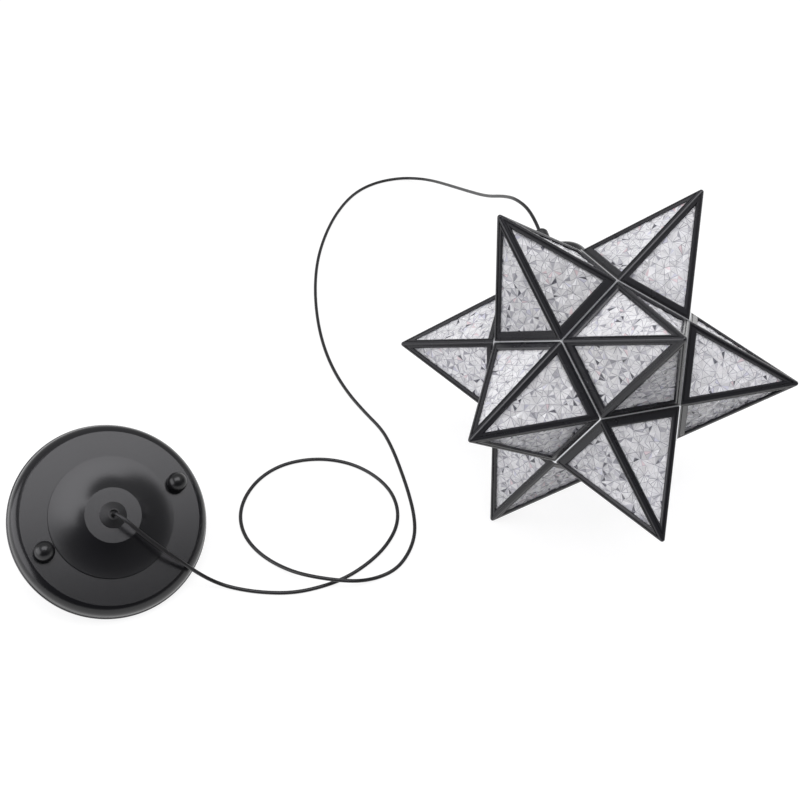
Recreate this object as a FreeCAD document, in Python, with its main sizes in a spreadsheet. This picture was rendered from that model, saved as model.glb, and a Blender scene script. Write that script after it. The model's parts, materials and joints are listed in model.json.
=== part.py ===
"""Star pendant: eleven glazed points round a hidden lamp, a cap, a thin flex and a round ceiling canopy.

Units are millimetres.  The pendant lies on a bench: the star stands on three of its points, the canopy
leans on its rim and on the screws of its crossbar, and the flex lies between them.
+Z is up, +X runs from the canopy to the star, and the origin is under the middle of both, on the bench.
"""
import FreeCAD
import Part
import math
import os
import Sketcher
from FreeCAD import Placement, Rotation, Vector

os.makedirs("parts", exist_ok=True)
doc = FreeCAD.newDocument("star_pendant")

# ---------------------------------------------------------------- driving dimensions
DIMENSIONS = {
    # the star
    "base_edge": 51.0,            # edge of the five-sided base of each point
    "tip_round": 1.6,             # radius of the tips and of the ridges between two panes
    "frame_wall": 3.0,            # depth of a point's frame, square to its face
    "ridge_width": 3.8,           # bar beside a ridge, on the face
    "base_width": 6.0,            # bar along the base, on the face
    "pane_ledge": 1.5,            # how far a bar covers the pane behind it
    "pane_recess": 1.2,           # outer face of the frame to the pane
    "pane_thickness": 1.6,
    "pane_clearance": 0.3,        # round the pane, in its recess
    "groove_inset": 1.5,          # from a ridge, or the base edge, to the groove beside it
    "groove_width": 0.6,
    "groove_depth": 0.6,
    "window_bevel": 0.8,          # round the window, at 45 degrees
    "seam_gap": 0.9,              # light gap between the frames of two points
    "strip_width": 3.0,           # each wing of the bent strip behind a seam
    "bracket_radius": 8.5,
    "bracket_wall": 1.2,
    "clip_length": 9.0,
    "clip_width": 2.8,
    "clip_wall": 0.6,
    "clip_slack": 0.2,            # between a clip's tongue and its pane
    # the cap of the star
    "plate_wall": 1.2,
    "plate_overlap": 5.0,         # how far the cap plate covers the frames round it
    "plate_bore": 39.0,
    "cup_diameter": 48.0,
    "cup_height": 27.0,
    "cup_wall": 1.0,
    "cup_shoulder": 7.0,
    "grip_diameter": 10.0,
    "grip_length": 22.0,
    "grip_flange": 16.0,
    "grip_thread": 6.0,           # how far the nipple enters the grip, and the lampholder
    "cap_screw_diameter": 2.5,
    "cap_screw_length": 4.0,
    # lampholder and lamp
    "holder_diameter": 28.0,
    "holder_length": 44.0,
    "holder_wall": 1.6,
    "lamp_base_diameter": 13.5,
    "lamp_base_length": 20.0,
    "lamp_diameter": 45.0,
    "lamp_length": 74.0,
    "lamp_wall": 0.8,
    "running_gap": 0.05,          # radial, between a turning piece and what carries it
    # the canopy
    "canopy_diameter": 120.0,
    "canopy_wall": 1.0,
    "lip_height": 1.6,            # of the upright lip that the skirt ends in
    "lip_step": 0.5,
    "ring_height": 11.5,
    "ring_diameter": 106.6,
    "dome_diameter": 74.6,
    "dome_step": 1.2,
    "dome_height": 17.6,
    "dome_flat": 33.8,
    "screw_pitch": 88.9,          # the two holes of a 3.5 in ceiling box
    "screw_diameter": 4.0,
    "screw_length": 45.0,
    "screw_head": 8.0,
    "screw_head_height": 3.1,
    "screw_bite": 5.5,            # how far a screw enters its ball nut
    "ball_diameter": 12.2,
    "ball_seat": 9.4,
    "ball_gap": 0.1,              # under a ball nut, which is only finger-tight
    "bar_length": 102.0,
    "bar_width": 16.0,
    "bar_wall": 2.0,
    "collar_diameter": 16.0,
    "collar_height": 3.0,
    "mouth_diameter": 5.6,        # of the wide mouth that the flex comes out of
    "mouth_depth": 2.4,
    "mouth_wall": 0.8,
    "nipple_diameter": 10.0,      # M10 x 1 lamp thread
    "nipple_bore": 7.0,
    "nut_flats": 14.0,
    "nut_height": 3.0,
    "stem_length": 13.0,          # of the canopy's cord grip, through the dome and its nut
    "box_pitch": 69.85,           # the two holes for a 2.75 in ceiling box
    "box_hole": 4.8,
    "earth_screw_x": 24.0,
    "screw_nut_flats": 7.0,
    "screw_nut_height": 3.2,
    "terminal_x": -14.0,
    "terminal_pole": 5.5,
    "terminal_screw": 3.4,
    "terminal_length": 22.0,
    "terminal_width": 9.0,
    "terminal_height": 8.0,
    # the flex
    "flex_diameter": 2.4,
    "core_diameter": 0.9,
    "canopy_straight": 4.0,       # straight length out of the canopy's grip
    "star_straight": 16.0,        # and out of the star's
    # how the pieces lie on the bench
    "star_x": 116.5,
    "star_y": 22.47,
    "star_heading": 106.155,
    "canopy_x": -178.5,
    "canopy_y": -67.03,
    "canopy_lean": -51.8,
}

# The free flex between the two grips, which its first two and last two points are worked out from.
FLEX_ROUTE = [
    # over the canopy and down past its rim
    (-167.0, -79.5, 51.5), (-161.0, -83.0, 48.5), (-152.5, -86.0, 41.0), (-142.5, -89.0, 33.0),
    (-131.5, -91.5, 24.0), (-122.0, -92.0, 13.0), (-112.5, -92.5, 5.0),
    # the loop on the bench
    (-101.5, -94.0, 1.3), (-84.0, -96.4, 1.3), (-64.0, -95.8, 1.3), (-46.0, -90.3, 1.3), (-30.5, -82.5, 1.3),
    (-16.5, -70.5, 1.3), (-6.0, -57.5, 1.3), (1.0, -42.0, 1.3), (1.6, -27.0, 1.3), (-3.5, -12.5, 1.3),
    (-14.5, -0.5, 1.3), (-29.5, 8.0, 1.3), (-47.0, 11.2, 1.3), (-64.0, 9.2, 1.3), (-79.5, 2.8, 1.3),
    (-92.0, -8.8, 1.3), (-99.8, -24.0, 1.3), (-102.0, -39.5, 1.3), (-97.8, -54.5, 1.3), (-88.0, -67.0, 1.3),
    (-74.0, -76.5, 1.3),
    # over the first strand
    (-57.0, -86.3, 7.0), (-29.5, -89.3, 7.0),
    # back across the bench
    (-13.5, -83.0, 1.3), (0.0, -75.5, 1.3), (8.3, -63.0, 1.3), (12.8, -48.0, 1.3), (12.3, -32.0, 1.3),
    (8.6, -13.5, 1.3), (3.0, 6.5, 1.3), (-2.5, 23.5, 1.3), (-9.5, 39.5, 1.3), (-21.5, 54.0, 1.3),
    (-34.0, 71.0, 1.3), (-45.5, 92.5, 1.3), (-54.5, 118.0, 1.3), (-60.5, 147.5, 1.3), (-63.6, 181.0, 1.3),
    (-62.8, 214.0, 1.3), (-57.0, 246.5, 1.3), (-48.0, 274.5, 1.3), (-35.5, 297.5, 1.3), (-19.0, 312.5, 1.3),
    # round and up to the star
    (1.0, 321.0, 1.3), (17.0, 318.5, 4.5), (28.5, 303.0, 15.5), (39.5, 277.5, 32.0), (51.5, 243.0, 54.5),
    (61.8, 208.5, 78.0), (69.2, 181.0, 101.5), (74.8, 159.0, 117.0),
]

sheet = doc.addObject("Spreadsheet::Sheet", "Sizes")
for row, (alias, number) in enumerate(DIMENSIONS.items(), start=1):
    sheet.set(f"A{row}", alias)
    sheet.set(f"B{row}", str(number))
    sheet.setAlias(f"B{row}", alias)
doc.recompute()


# ---------------------------------------------------------------- sizes that carry their expression
class Size:
    """A length or angle: its number, and the sheet expression that gives the same number."""

    def __init__(self, number, text):
        self.number = float(number)
        self.text = text

    def __add__(self, other):
        return Size(self.number + number_of(other), f"({self.text} + {text_of(other)})")

    def __sub__(self, other):
        return Size(self.number - number_of(other), f"({self.text} - {text_of(other)})")

    def __mul__(self, other):
        return Size(self.number * number_of(other), f"({self.text} * {text_of(other)})")

    def __truediv__(self, other):
        return Size(self.number / number_of(other), f"({self.text} / {text_of(other)})")

    def __neg__(self):
        return Size(-self.number, f"(0 - {self.text})")

    def __float__(self):
        return self.number


def number_of(value):
    return float(value)


def text_of(value):
    return value.text if isinstance(value, Size) else repr(float(value))


def size(alias):
    """The size that the sheet holds under an alias."""
    return Size(sheet.get(alias), f"Sizes.{alias}")


def root_of(value):
    """Square root of a size that stands for an area."""
    return Size(math.sqrt(value.number), f"sqrt({value.text})")


def bind(piece, setting, value):
    """Set a property from a size, and keep it bound to the sheet."""
    setattr(piece, setting, value.number)
    piece.setExpression(setting, value.text)


# ---------------------------------------------------------------- shared ways of making a piece
def part_object(kind, label):
    piece = doc.addObject(kind, label)
    piece.Label = label
    return piece


def plane_of(body, role):
    return next(item for item in body.Origin.OriginFeatures if item.Role == role)


def sketch_in(body, name, role="XZ_Plane"):
    sketch = body.newObject("Sketcher::SketchObject", name)
    sketch.AttachmentSupport = [(plane_of(body, role), "")]
    sketch.MapMode = "FlatFace"
    return sketch


def point_limits(edge, end, across, up):
    """Constraints that fix one end of a sketch edge from the sketch's origin, each with its size."""
    limits = []
    for kind, axis, value in (("DistanceX", -2, across), ("DistanceY", -1, up)):
        if abs(float(value)) < 1e-9:
            limits.append((Sketcher.Constraint("PointOnObject", edge, end, axis), None))
        else:
            limits.append((Sketcher.Constraint(kind, -1, 1, edge, end, float(value)), value))
    return limits


def constrain(sketch, limits):
    """Add constraints together, and bind those that have a size to the sheet."""
    first = sketch.ConstraintCount
    sketch.addConstraint([limit for limit, _value in limits])
    for index, (_limit, value) in enumerate(limits, start=first):
        if isinstance(value, Size):
            sketch.setExpression(f"Constraints[{index}]", value.text)


def outline_in(sketch, corners):
    """Draw a closed outline.

    Each corner is (across, up), or (across, up, bulge) where the edge to the next corner is an arc whose
    middle stands that far to the left of the straight line.  A sketch can hold several outlines.
    """
    first = sketch.GeometryCount
    points = [Vector(float(corner[0]), float(corner[1]), 0) for corner in corners]
    for index, corner in enumerate(corners):
        start = points[index]
        end = points[(index + 1) % len(points)]
        if len(corner) == 2:
            sketch.addGeometry(Part.LineSegment(start, end), False)
            continue
        sketch.addGeometry(bulged_arc(start, end, float(corner[2])), False)
    edges = sketch.Geometry[first:]
    limits = []
    for index, corner in enumerate(corners):
        after = (index + 1) % len(corners)
        limits += point_limits(first + index, end_near(edges[index], points[index]), corner[0], corner[1])
        leaving = end_near(edges[index], points[after])
        entering = end_near(edges[after], points[after])
        joined = Sketcher.Constraint("Coincident", first + index, leaving, first + after, entering)
        limits.append((joined, None))
        if len(corner) == 3:
            limits.append((Sketcher.Constraint("Radius", first + index, edges[index].Radius), None))
    constrain(sketch, limits)


def bulged_arc(start, end, bulge):
    """Arc between two points of a sketch whose middle stands off the chord, to the left where positive."""
    along = end - start
    radius = (along.Length ** 2 / 4 + bulge ** 2) / (2 * abs(bulge))
    to_left = Vector(-along.y, along.x, 0).normalize()
    centre = (start + end) * 0.5 + to_left * (bulge - math.copysign(radius, bulge))
    if bulge > 0:
        start, end = end, start
    first = math.atan2(start.y - centre.y, start.x - centre.x)
    last = math.atan2(end.y - centre.y, end.x - centre.x)
    if last < first:
        last += 2 * math.pi
    return Part.ArcOfCircle(Part.Circle(centre, Vector(0, 0, 1), radius), first, last)


def end_near(geometry, point):
    """Which end of a sketch edge lies nearer a point: 1 for its start, 2 for its end."""
    from_start = geometry.StartPoint.distanceToPoint(point)
    return 1 if from_start < geometry.EndPoint.distanceToPoint(point) else 2


def turned(label, corners):
    """A piece turned on the Z axis from its half outline."""
    body = part_object("PartDesign::Body", label)
    sketch = sketch_in(body, f"{label}_outline")
    outline_in(sketch, corners)
    turning = body.newObject("PartDesign::Revolution", f"{label}_turning")
    turning.Profile = sketch
    turning.ReferenceAxis = (sketch, ["V_Axis"])
    turning.Angle = 360.0
    body.Tip = turning
    doc.recompute()
    return body


def drill(body, name, holes):
    """Holes right through a body, along Z: each is (x, y, diameter)."""
    sketch = sketch_in(body, name, "XY_Plane")
    limits = []
    for index, (across, up, diameter) in enumerate(holes):
        circle = Part.Circle(Vector(float(across), float(up), 0), Vector(0, 0, 1), float(diameter) / 2)
        sketch.addGeometry(circle, False)
        limits += point_limits(index, 3, across, up)
        limits.append((Sketcher.Constraint("Diameter", index, float(diameter)), diameter))
    constrain(sketch, limits)
    before = body.Shape.Volume
    pocket = body.newObject("PartDesign::Pocket", f"{name}_pocket")
    pocket.Profile = sketch
    pocket.Type = "ThroughAll"
    pocket.Midplane = True
    body.Tip = pocket
    doc.recompute()
    if not body.Shape.Volume < before:
        raise RuntimeError(f"{name} cuts nothing")


def rectangle(width, depth):
    """Corners of a rectangle about the origin."""
    across = width / 2
    up = depth / 2
    return [(-across, -up), (across, -up), (across, up), (-across, up)]


def padded(label, corners, height):
    """A prism on the XY plane."""
    body = part_object("PartDesign::Body", label)
    sketch = sketch_in(body, f"{label}_outline", "XY_Plane")
    outline_in(sketch, corners)
    pad = body.newObject("PartDesign::Pad", f"{label}_pad")
    pad.Profile = sketch
    bind(pad, "Length", height)
    body.Tip = pad
    doc.recompute()
    return body


def copy_of(shape, placement):
    """A copy of a shape, moved to a place."""
    return shape.transformed(placement.toMatrix(), True)


# ---------------------------------------------------------------- geometry of the star
GOLDEN = (1 + math.sqrt(5)) / 2
FIFTH = 72.0                                      # degrees between neighbours round any point
FACE_SLOPE = math.degrees(math.atan(2))           # of a point's face, from the base; also between two tips
SEAM_SPREAD = 1.9021                              # gap between two bases for each unit that they are lifted
FACE_TAPER = math.tan(math.radians(18))           # half the tip angle of a face
RIDGE_LENGTHENING = 1 / math.sin(math.radians(18))
CORNER = 1 / math.cos(math.radians(36))           # five-sided: corner over middle of a side

pentagon_middle = size("base_edge") * (0.5 / math.tan(math.radians(36)))
core_height = pentagon_middle * GOLDEN            # star's centre to the base of a point, and to every face
tip_reach = pentagon_middle * (GOLDEN + 2)        # star's centre to the sharp tip, before it is rounded
face_top = pentagon_middle * (1 + math.sqrt(5))   # middle of a face's plane to the sharp tip
base_level = core_height + size("seam_gap") / SEAM_SPREAD


def angled(azimuth, polar):
    """Unit vector at an angle round the cap's axis, and an angle from it, in degrees."""
    round_axis = math.radians(azimuth)
    from_axis = math.radians(polar)
    outwards = math.sin(from_axis)
    return Vector(outwards * math.cos(round_axis), outwards * math.sin(round_axis), math.cos(from_axis))


UPPER_TIPS = [angled(FIFTH * k, FACE_SLOPE) for k in range(5)]
LOWER_TIPS = [angled(FIFTH * (k + 0.5), 180 - FACE_SLOPE) for k in range(5)]
CAP_AXIS = Vector(0, 0, 1)
TIPS = UPPER_TIPS + LOWER_TIPS + [Vector(0, 0, -1)]
STANDING_TIPS = (UPPER_TIPS[0], LOWER_TIPS[0], LOWER_TIPS[4])


def frame_from(origin, z_axis, y_axis):
    """Placement of a piece whose Z and Y axes point along two directions."""
    z_axis = Vector(z_axis).normalize()
    y_axis = (y_axis - z_axis * y_axis.dot(z_axis)).normalize()
    x_axis = y_axis.cross(z_axis)
    return Placement(origin, Rotation(x_axis, y_axis, z_axis, "ZYX"))


def nearest_tip(tip):
    """One of the directions next to a tip's own, which one of its faces leans towards."""
    others = [other for other in TIPS + [CAP_AXIS] if other.dot(tip) < 0.9]
    return max(others, key=lambda other: other.dot(tip))


def point_place(tip):
    """Where a point stands in the star: its own -Y side leans towards a neighbour."""
    return frame_from(Vector(0, 0, 0), tip, -nearest_tip(tip))


def star_place():
    """How the star lies: on three tips, its cap axis turned to the heading."""
    down = (STANDING_TIPS[0] + STANDING_TIPS[1] + STANDING_TIPS[2]).normalize()
    tip_centre = float(tip_reach) - DIMENSIONS["tip_round"] * math.sqrt(5)
    height = tip_centre * STANDING_TIPS[0].dot(down) + DIMENSIONS["tip_round"]
    rise = math.asin(-down.z)
    heading = math.radians(DIMENSIONS["star_heading"])
    z_axis = Vector(
        math.cos(rise) * math.cos(heading), math.cos(rise) * math.sin(heading), math.sin(rise)
    )
    x_axis = (Vector(0, 0, -1) - z_axis * down.z) * (1 / down.x)
    y_axis = z_axis.cross(x_axis)
    turn = Rotation(x_axis, y_axis, z_axis, "ZXY")
    return Placement(Vector(DIMENSIONS["star_x"], DIMENSIONS["star_y"], height), turn)


STAR = star_place()


# ---------------------------------------------------------------- the points
def pentagon(middle):
    """Corners of a five-sided outline, a side square to -Y, from the middle of a side."""
    corners = []
    for k in range(5):
        angle = math.radians(90 + FIFTH * k)
        corners.append((middle * (CORNER * math.cos(angle)), middle * (CORNER * math.sin(angle))))
    return corners


def level_sketch(body, name, corners, level):
    """A closed outline square to Z at a level."""
    sketch = sketch_in(body, name, "XY_Plane")
    sketch.AttachmentOffset = Placement(Vector(0, 0, float(level)), Rotation())
    sketch.setExpression("AttachmentOffset.Base.z", level.text)
    outline_in(sketch, corners)
    return sketch


def face_sketch(body, name, outlines, depth):
    """Closed outlines on the face that leans to -Y, at a depth below its surface."""
    out = core_height - depth
    sideways = out * -math.sin(math.radians(FACE_SLOPE))
    upwards = out * math.cos(math.radians(FACE_SLOPE))
    sketch = sketch_in(body, name, "XY_Plane")
    sketch.AttachmentOffset = Placement(
        Vector(0, float(sideways), float(upwards)), Rotation(Vector(1, 0, 0), FACE_SLOPE)
    )
    sketch.setExpression("AttachmentOffset.Base.y", sideways.text)
    sketch.setExpression("AttachmentOffset.Base.z", upwards.text)
    for corners in outlines:
        outline_in(sketch, corners)
    return sketch


def face_triangle(from_ridge, from_base):
    """Corners of a triangle on a face, inside its ridges and its base edge."""
    bottom = pentagon_middle + from_base
    top = face_top - from_ridge * RIDGE_LENGTHENING
    half = (top - bottom) * FACE_TAPER
    return [(-half, bottom), (half, bottom), (0.0, top)]


def rounded_pentagon(middle, rounding):
    """A five-sided outline whose corners are arcs."""
    straight = (middle - rounding) * math.tan(math.radians(36))
    bulge = rounding * (math.cos(math.radians(36)) - 1)
    corners = []
    for k in range(5):
        angle = math.radians(FIFTH * k - 90)
        across = math.cos(angle)
        up = math.sin(angle)
        corners.append((middle * across + straight * up, middle * up - straight * across))
        corners.append((middle * across - straight * up, middle * up + straight * across, bulge))
    return corners


def pyramid(body, name, kind, bottom, top, reach, rounding=None):
    """A five-sided pyramid between two levels, with its sharp tip at a reach, added or cut."""
    sections = []
    for part, level in (("foot", bottom), ("head", top)):
        middle = (reach - level) / 2
        corners = rounded_pentagon(middle, rounding) if rounding else pentagon(middle)
        sections.append(level_sketch(body, f"{name}_{part}", corners, level))
    loft = body.newObject(kind, name)
    loft.Profile = sections[0]
    loft.Sections = [(sections[1], "")]
    loft.Ruled = True
    body.Tip = loft
    doc.recompute()
    return loft


def pocket_of(body, name, sketch, depth, taper=0.0):
    """Cut a sketch into a body to a depth, with walls that lean inwards by a taper in degrees."""
    before = body.Shape.Volume
    pocket = body.newObject("PartDesign::Pocket", name)
    pocket.Profile = sketch
    pocket.TaperAngle = -taper
    bind(pocket, "Length", depth)
    body.Tip = pocket
    doc.recompute()
    if not body.Shape.Volume < before:
        raise RuntimeError(f"{name} cuts nothing")
    return pocket


def hollow_pyramid(body):
    """The point's five-sided shell, open at its base, with rounded ridges and a ball for its tip."""
    tip_round = size("tip_round")
    wall = size("frame_wall")
    tip_level = tip_reach - tip_round * 2
    ridge_round = tip_round * (2 / math.sqrt(5))
    pyramid(body, "point_outside", "PartDesign::AdditiveLoft", base_level, tip_level, tip_reach, ridge_round)
    ball = body.newObject("PartDesign::AdditiveSphere", "point_tip")
    bind(ball, "Radius", tip_round)
    ball_level = tip_reach - tip_round * math.sqrt(5)
    ball.Placement = Placement(Vector(0, 0, float(ball_level)), Rotation())
    ball.setExpression("Placement.Base.z", ball_level.text)
    body.Tip = ball
    doc.recompute()
    inner_reach = (core_height - wall) * math.sqrt(5)
    below = base_level - wall
    inner_top = inner_reach - wall / 10
    pyramid(body, "point_inside", "PartDesign::SubtractiveLoft", below, inner_top, inner_reach)


def window_cuts(body):
    """In the face that leans to -Y: window, rebate for the pane, bevel and groove round the window."""
    wall = size("frame_wall")
    ridge = size("ridge_width")
    base = size("base_width")
    recess = size("pane_recess")
    bevel = size("window_bevel")
    inset = size("groove_inset")
    far_side = inset + size("groove_width")
    margin = wall / 10
    flush = Size(0, "0")
    window = face_sketch(body, "window_outline", [face_triangle(ridge, base)], -margin)
    rebate = face_sketch(body, "rebate_outline", [pane_opening(flush)], recess)
    edge = face_sketch(body, "bevel_outline", [face_triangle(ridge - bevel, base - bevel)], flush)
    groove_sides = [face_triangle(inset, inset), face_triangle(far_side, far_side)]
    groove = face_sketch(body, "groove_outline", groove_sides, flush)
    return [
        pocket_of(body, "window", window, wall + margin * 2),
        pocket_of(body, "rebate", rebate, wall - recess + margin),
        pocket_of(body, "bevel", edge, bevel, 45.0),
        pocket_of(body, "groove", groove, size("groove_depth")),
    ]


def point_frame():
    """One point's frame: a hollow pyramid with a glazed window, its rebate and its mouldings in each face."""
    body = part_object("PartDesign::Body", "point_frame")
    hollow_pyramid(body)
    cuts = window_cuts(body)
    before = body.Shape.Volume
    windows = body.newObject("PartDesign::PolarPattern", "five_windows")
    windows.Originals = cuts
    windows.Axis = (next(item for item in body.Origin.OriginFeatures if item.Role == "Z_Axis"), [""])
    windows.Angle = 360.0
    windows.Occurrences = 5
    body.Tip = windows
    doc.recompute()
    if not body.Shape.Volume < before:
        raise RuntimeError("five_windows cuts nothing")
    return body


def pane_opening(clearance):
    """Triangle of the rebate that holds a pane, less a clearance all round."""
    ledge = size("pane_ledge")
    return face_triangle(size("ridge_width") - ledge + clearance, size("base_width") - ledge + clearance)


def point_pane():
    """One three-sided glass pane, behind the window of the face that leans to -Y."""
    body = part_object("PartDesign::Body", "point_pane")
    pad = body.newObject("PartDesign::Pad", "pane_pad")
    outline = pane_opening(size("pane_clearance"))
    pad.Profile = face_sketch(body, "pane_outline", [outline], size("pane_recess"))
    bind(pad, "Length", size("pane_thickness"))
    pad.Reversed = True
    body.Tip = pad
    doc.recompute()
    return body


def clip_pad(body, name, low, high, depth):
    """A rectangle of the clip, from a depth below the face down to the clip's inner side."""
    across = size("clip_length") / 2
    corners = [(-across, low), (across, low), (across, high), (-across, high)]
    pad = body.newObject("PartDesign::Pad", name)
    pad.Profile = face_sketch(body, f"{name}_outline", [corners], depth)
    bind(pad, "Length", size("frame_wall") + size("clip_wall") - depth)
    pad.Reversed = True
    body.Tip = pad
    doc.recompute()


def pane_clip():
    """A small clip, tacked inside the base bar, whose tongue holds a pane's lower edge."""
    body = part_object("PartDesign::Body", "pane_clip")
    rebate_edge = pentagon_middle + size("base_width") - size("pane_ledge")
    low = rebate_edge - size("clip_width") / 2
    high = rebate_edge + size("clip_width") / 2
    tongue_level = size("pane_recess") + size("pane_thickness") + size("clip_slack")
    clip_pad(body, "clip_foot", low, high, size("frame_wall"))
    clip_pad(body, "clip_tongue", rebate_edge + size("pane_clearance"), high, tongue_level)
    return body


def round_the_point(shape):
    """Five copies of a shape round a point's axis."""
    return [copy_of(shape, Placement(Vector(), Rotation(Vector(0, 0, 1), FIFTH * k))) for k in range(5)]


def core_corners():
    """Directions of the twenty corners at which three bases meet, each with its three base directions."""
    directions = TIPS + [CAP_AXIS]
    corners = []
    for first in range(12):
        for second in range(first + 1, 12):
            for third in range(second + 1, 12):
                trio = (directions[first], directions[second], directions[third])
                near = [trio[0].dot(trio[1]), trio[1].dot(trio[2]), trio[0].dot(trio[2])]
                if min(near) > 0.4:
                    corners.append(((trio[0] + trio[1] + trio[2]).normalize(), trio))
    return corners


def core_block(level):
    """Solid twelve-sided core whose faces stand at a level from the star's centre."""
    reach = level / math.cos(math.radians(37.3774))
    corners = core_corners()
    faces = []
    for axis in TIPS + [CAP_AXIS]:
        place = frame_from(Vector(), axis, Vector(0.31, 0.77, 0.55))
        ring = [corner * reach for corner, trio in corners if any(axis.isEqual(item, 1e-6) for item in trio)]
        ring.sort(key=lambda point: angle_round(place, point))
        faces.append(Part.Face(Part.makePolygon(ring + [ring[0]])))
    return Part.Solid(Part.Shell(faces))


def angle_round(place, point):
    flat = place.inverse().multVec(point)
    return math.atan2(flat.y, flat.x)


def core_skin():
    """The skin of the core that the bases of the points lie on."""
    outside = core_block(float(base_level))
    return outside.cut(core_block(float(base_level) - DIMENSIONS["bracket_wall"]))


def corner_punch(corner, radius):
    """A round bar through the skin at a corner."""
    level = float(base_level)
    return Part.makeCylinder(radius, level, corner * (level * 0.9), corner)


def corner_brackets():
    """A dished plate inside each corner of the core, which the frames that meet there are soldered to."""
    skin = core_skin()
    reach = float(tip_reach)
    over_cap = Part.makeBox(reach * 2, reach * 2, reach, Vector(-reach, -reach, float(core_height)))
    brackets = []
    for corner, _trio in core_corners():
        punch = corner_punch(corner, DIMENSIONS["bracket_radius"])
        brackets.append(skin.common(punch).cut(over_cap).Solids[0])
    return brackets


def seam_strips():
    """A bent strip behind each seam between two points, from bracket to bracket, which shows in the gap."""
    strips = core_skin()
    side = float(pentagon_middle * (base_level.number / core_height.number)) - DIMENSIONS["strip_width"]
    for tip in TIPS + [CAP_AXIS]:
        corners = [Vector(x, y, 0) for x, y in pentagon(side)]
        opening = Part.Face(Part.makePolygon(corners + [corners[0]]))
        punch = opening.extrude(Vector(0, 0, float(core_height) * 2))
        punch.Placement = point_place(tip)
        strips = strips.cut(punch)
    radius = DIMENSIONS["bracket_radius"] + DIMENSIONS["running_gap"] * 2
    for corner, _trio in core_corners():
        strips = strips.cut(corner_punch(corner, radius))
    under_cap = float(core_height) * 0.9
    return [strip for strip in strips.Solids if strip.CenterOfMass.dot(CAP_AXIS) < under_cap]


def cap_screw_spots():
    """Where the five cap screws stand round the cap's axis: over the middle of each base bar beside it."""
    middle = pentagon_middle + size("base_width") * 0.48
    spots = []
    for k in range(5):
        angle = math.radians(FIFTH * k)
        spots.append((middle * math.cos(angle), middle * math.sin(angle)))
    return spots


def star_points():
    """The eleven frames and their glass, each a node, and the clips and brackets inside."""
    frame = point_frame()
    pane = point_pane()
    clip = pane_clip()
    panes = Part.makeCompound(round_the_point(pane.Shape))
    clips = []
    hole = DIMENSIONS["cap_screw_diameter"] / 2 + DIMENSIONS["running_gap"]
    drill_length = DIMENSIONS["cap_screw_length"] * 2.5
    drill_foot = float(core_height) - DIMENSIONS["cap_screw_length"] * 1.5
    drills = [
        Part.makeCylinder(hole, drill_length, Vector(float(x), float(y), drill_foot))
        for x, y in cap_screw_spots()
    ]
    for number, tip in enumerate(TIPS, start=1):
        place = point_place(tip)
        shape = copy_of(frame.Shape, place)
        if number <= 5:
            shape = shape.cut(drills[number - 1])
        node(f"point_frame_{number:02d}", shape, STAR)
        node(f"point_glass_{number:02d}", copy_of(panes, place), STAR)
        clips += [copy_of(item, place) for item in round_the_point(clip.Shape)]
    node("pane_clips", Part.makeCompound(clips), STAR)
    node("corner_brackets", Part.makeCompound(corner_brackets()), STAR)
    node("seam_strips", Part.makeCompound(seam_strips()), STAR)


# ---------------------------------------------------------------- nodes
NODES = []


def node(label, shape, place):
    """A sub-part that is a moved copy or a group."""
    piece = part_object("Part::Feature", label)
    piece.Shape = shape
    piece.Placement = place
    NODES.append(piece)
    return piece


def stand(piece, place, offset=None):
    """Put a modelled sub-part in its place and count it as a node."""
    piece.Placement = place.multiply(Placement(offset or Vector(), Rotation()))
    NODES.append(piece)
    return piece


# ---------------------------------------------------------------- the cap of the star, and what hangs in it
QUARTER_BULGE = 1 - 1 / math.sqrt(2)              # of a quarter circle, for each unit of its radius
HEAD_FLAT = 0.8                                   # of a screw head's radius: the flat on its top


def half(alias):
    return size(alias) / 2


def cap_plate():
    """The five-sided plate that closes the top of the star."""
    middle = pentagon_middle + size("plate_overlap")
    corners = [(y, x) for x, y in pentagon(middle)]
    plate = padded("cap_plate", corners[::-1], size("plate_wall"))
    holes = [(Size(0, "0"), Size(0, "0"), size("plate_bore"))]
    bore = size("cap_screw_diameter") + size("running_gap") * 2
    holes += [(x, y, bore) for x, y in cap_screw_spots()]
    drill(plate, "cap_plate_holes", holes)
    return plate


def cap_cup():
    """The spun cup over the lampholder, flat on top where the cord grip and its nut bear."""
    outer = half("cup_diameter")
    wall = size("cup_wall")
    height = size("cup_height")
    shoulder = size("cup_shoulder")
    crown = shoulder * 0.35
    flat = half("grip_flange") + wall
    bore = half("nipple_diameter") + size("running_gap")
    return turned("cap_cup", [
        (outer - wall, Size(0, "0")),
        (outer, Size(0, "0")),
        (outer, height - shoulder - crown, -shoulder * QUARTER_BULGE),
        (outer - shoulder, height - crown),
        (flat, height),
        (bore, height),
        (bore, height - wall),
        (flat, height - wall),
        (outer - shoulder, height - crown - wall, (shoulder - wall) * QUARTER_BULGE),
        (outer - wall, height - shoulder - crown),
    ])


def grip_outline(flange, flange_height, barrel, length, thread_depth, bore):
    """Half outline of a cord grip: flange, waist, rounded barrel, thread below and a bore for the flex."""
    thread = half("nipple_diameter") + size("running_gap")
    round_end = barrel * 0.6
    return [
        (thread, Size(0, "0")),
        (flange, Size(0, "0")),
        (flange, flange_height * 0.4, -flange_height * 0.12),
        (barrel, flange_height),
        (barrel, length - round_end, -round_end * 0.25),
        (bore + size("flex_diameter") * 0.3, length),
        (bore, length),
        (bore, thread_depth),
        (thread, thread_depth),
    ]


def flex_bore():
    return half("flex_diameter") + size("running_gap")


def cap_cord_grip():
    return turned("cap_cord_grip", grip_outline(
        half("grip_flange"), size("grip_thread") + size("cup_wall") * 1.5, half("grip_diameter"),
        size("grip_length"), size("grip_thread"), flex_bore(),
    ))


def tube_piece(label, outer, inner, height):
    return turned(label, [
        (inner, Size(0, "0")), (outer, Size(0, "0")), (outer, height), (inner, height),
    ])


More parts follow.
